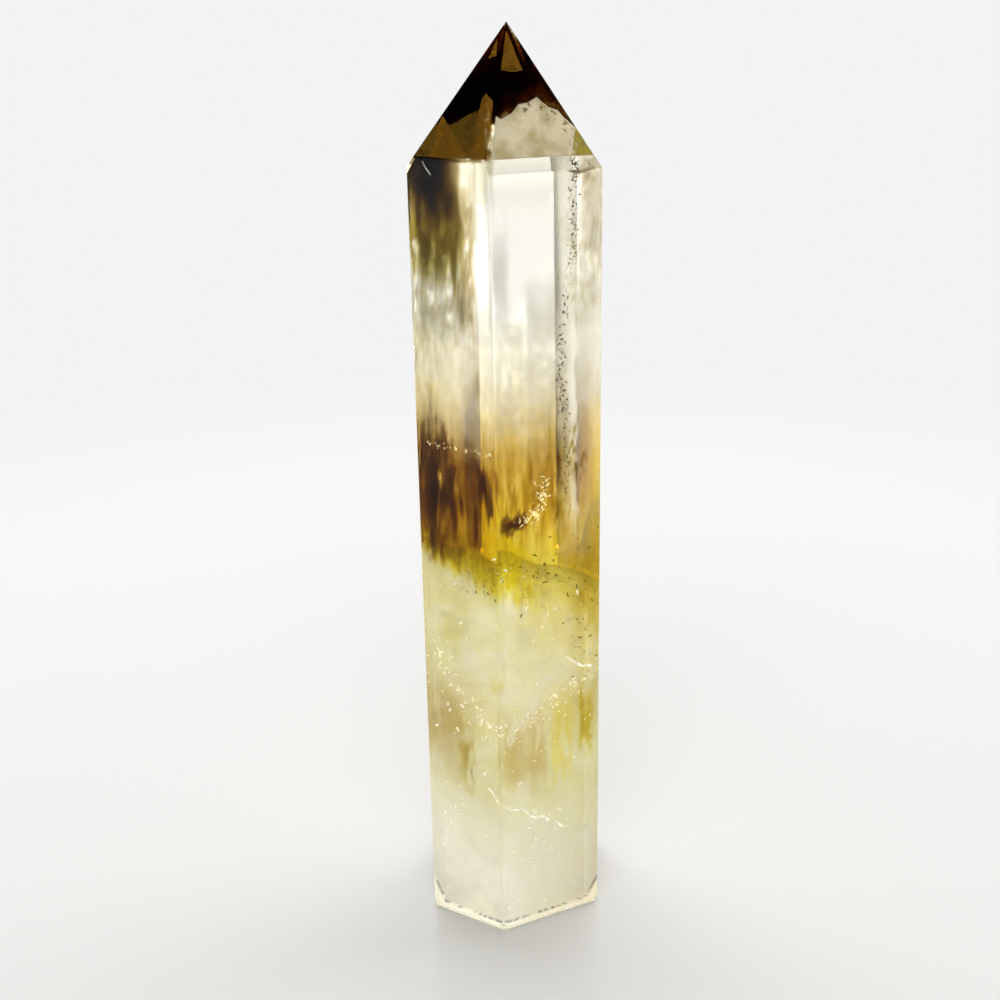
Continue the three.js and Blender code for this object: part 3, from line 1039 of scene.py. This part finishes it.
DARK_TRAIL = ((9.6, 87, 0.3), (9.4, 84, 0.4), (9.4, 78.7, 0.4), (7.9, 70, 0.4), (7.6, 65, 0.4),
              (8.4, 61, 0.4), (8.4, 52, 0.4))
SPARKLES = ((1, 44, 0.3), (5, 38, 0.3), (3, 30, 0.3), (9, 26, 0.3), (5, 18, 0.3), (2, 10, 0.3), (9, 6, 0.3))
BOWL_LEFT = ((0.6, 36.5, 0.3), (1.6, 33.6, 0.3), (3.8, 30.4, 0.3), (6.6, 27.2, 0.3), (9.7, 25.0, 0.3))
BOWL_RIGHT = ((0.0, 25.0, 0.3), (3.0, 25.6, 0.3), (6.0, 27.6, 0.3), (9.0, 28.8, 0.3), (12.4, 30.6, 0.3))
CLUSTER = ((3.0, 50.3, 0.3), (4.4, 50.5, 0.3), (5.2, 51.4, 0.3), (5.6, 52.8, 0.3), (5.7, 54.6, 0.3))
ROW = ((1.2, 58.2, 0.3), (4.6, 58.0, 0.3), (7.1, 58.1, 0.3), (9.2, 57.6, 0.3))
HEM_LEFT = ((4.5, 43.8, 0.3), (8.5, 43.4, 0.3), (9.7, 45.5, 0.3))
HEM_RIGHT = ((2.0, 44, 0.3), (5.0, 43, 0.3), (9.4, 46.5, 0.3), (10.6, 42, 0.3), (9.6, 36, 0.3),
             (11.4, 33, 0.3))
TRAILS = {
    "dark_trail": (fleck, 900, FRONT_RIGHT, DARK_TRAIL, (0.3, 0.6, 0.15), 0.06, 0.20, 2),
    "foot_sparkles_right": (glint, 260, FRONT_RIGHT, SPARKLES, (2.5, 3, 0.05), 0.06, 0.40, 3),
    "foot_sparkles_left": (glint, 220, FRONT_LEFT, SPARKLES, (2.5, 3, 0.05), 0.06, 0.40, 3),
    "bowl_glints_left": (glint, 120, FRONT_LEFT, BOWL_LEFT, (0.6, 1.0, 0.06), 0.08, 0.42, 2),
    "bowl_glints_right": (glint, 120, FRONT_RIGHT, BOWL_RIGHT, (0.6, 1.0, 0.06), 0.08, 0.42, 2),
    "honey_glints": (honey, 150, FRONT_RIGHT, CLUSTER, (0.4, 0.35, 0.05), 0.10, 0.34, 2),
    "row_of_glints": (honey, 26, FRONT_LEFT, ROW, (0.5, 0.15, 0.05), 0.14, 0.26, 1),
    "hem_flecks_left": (olive_fleck, 90, FRONT_LEFT, HEM_LEFT, (1.2, 1.3, 0.03), 0.08, 0.3, 2),
    "hem_flecks_right": (olive_fleck, 260, FRONT_RIGHT, HEM_RIGHT, (1.1, 1.6, 0.03), 0.07, 0.32, 2),
}
rng = np.random.default_rng(21)
for name, trail in TRAILS.items():
    scatter(name, *trail, rng)

# %% [markdown]
# ## The stage
#
# The stone stands on a pale tray in a white studio. The tray fades into the light of the studio, so
# no horizon shows. Rays that light the stone meet a brighter studio than the camera sees, because
# much light is lost inside, and two dark cards, which keep the flats of the crown dark.

# %% Floor
tray, tray_shader = matt("pale tray", (0.650, 0.645, 0.636), 0.16)
tray_shader.inputs["Specular IOR Level"].default_value = 0.12
BACKGROUND = 0.896
STUDIO_GAIN = 2.4
FLOOR_GAP = 0.05


def fade_into_light(material, shader, near, far):
    """Far from the stone the tray glows as brightly as the studio round it, so no horizon shows."""
    tree = material.node_tree
    where = add_node(tree, "TexCoord", {})["Object"]
    distance = add_node(tree, "VectorMath", {0: where}, operation="LENGTH")["Value"]
    fade = add_node(tree, "MapRange", {"Value": distance, "From Min": near, "From Max": far},
                    interpolation_type="SMOOTHSTEP")["Result"]
    seen = add_node(tree, "LightPath", {})["Is Camera Ray"]
    strength = add_node(tree, "MapRange", {"Value": seen, "To Min": STUDIO_GAIN, "To Max": 1})["Result"]
    grey = (BACKGROUND, BACKGROUND, BACKGROUND, 1)
    light = add_node(tree, "Emission", {"Color": grey, "Strength": strength})
    mix = add_node(tree, "MixShader", {0: fade, 1: shader.outputs[0], 2: light[0]})
    tree.links.new(mix[0], tree.nodes["Material Output"].inputs["Surface"])


fade_into_light(tray, tray_shader, 0.75 * HEIGHT, 2.6 * HEIGHT)
FAR = 60 * HEIGHT
floor_mesh = bpy.data.meshes.new("floor")
floor_mesh.from_pydata(
    [(-FAR, -FAR, 0), (FAR, -FAR, 0), (FAR, FAR, 0), (-FAR, FAR, 0)], [], [(0, 1, 2, 3)]
)
floor_mesh.materials.append(tray)
floor = bpy.data.objects.new("floor", floor_mesh)
floor.location.z = -FLOOR_GAP * MM
bpy.context.scene.collection.objects.link(floor)

# %% Studio
DARK_CARDS = ((-0.665, -0.183, 0.722), (0.683, -0.386, 0.618))
CARD_EDGE = (0.79, 0.88)  # cosines of the angles where a card fades in
CARD_LIGHT = 0.02


def white_studio():
    """Bright all round, but for two dark cards up high where the flats of the crown look. The
    camera itself sees neither the cards nor the extra light."""
    world = bpy.data.worlds.new("white studio")
    world.use_nodes = True
    tree = world.node_tree
    direction = add_node(tree, "TexCoord", {})["Generated"]
    lights = []
    for card, open_light in zip(DARK_CARDS, (STUDIO_GAIN * BACKGROUND, 1)):
        towards = add_node(tree, "VectorMath", {0: direction, 1: card}, operation="DOT_PRODUCT")["Value"]
        fade = {"Value": towards, "From Min": CARD_EDGE[0], "From Max": CARD_EDGE[1],
                "To Min": open_light, "To Max": CARD_LIGHT}
        lights.append(add_node(tree, "MapRange", fade, interpolation_type="SMOOTHSTEP")["Result"])
    light = add_node(tree, "Math", {0: lights[0], 1: lights[1]}, operation="MULTIPLY")[0]
    seen = add_node(tree, "LightPath", {})["Is Camera Ray"]
    strength = add_node(tree, "Mix", {"Factor": seen, "A": light, "B": BACKGROUND})["Result"]
    tree.nodes["Background"].inputs["Color"].default_value = (1, 1, 1, 1)
    tree.links.new(strength, tree.nodes["Background"].inputs["Strength"])
    bpy.context.scene.world = world


white_studio()

# %% Camera
camera_data = bpy.data.cameras.new("camera")
camera_data.lens = 48.16
camera_data.sensor_width = 36
camera_data.clip_start = MM
camera = bpy.data.objects.new("camera", camera_data)
turn = (
    Matrix.Rotation(np.radians(0.82), 4, "Z")
    @ Matrix.Rotation(np.radians(-19.10), 4, "X")
    @ Matrix.Rotation(np.radians(1.05), 4, "Y")
    @ Matrix.Rotation(np.radians(90), 4, "X")
)
camera.matrix_world = Matrix.Translation((0.00588 * HEIGHT, -1.4241 * HEIGHT, 0.9855 * HEIGHT)) @ turn
bpy.context.scene.collection.objects.link(camera)
bpy.context.scene.camera = camera

bpy.context.scene.view_settings.view_transform = "Standard"
cycles = bpy.context.scene.cycles
cycles.max_bounces = 90
cycles.transmission_bounces = 90
cycles.diffuse_bounces = 16
cycles.transparent_max_bounces = 64
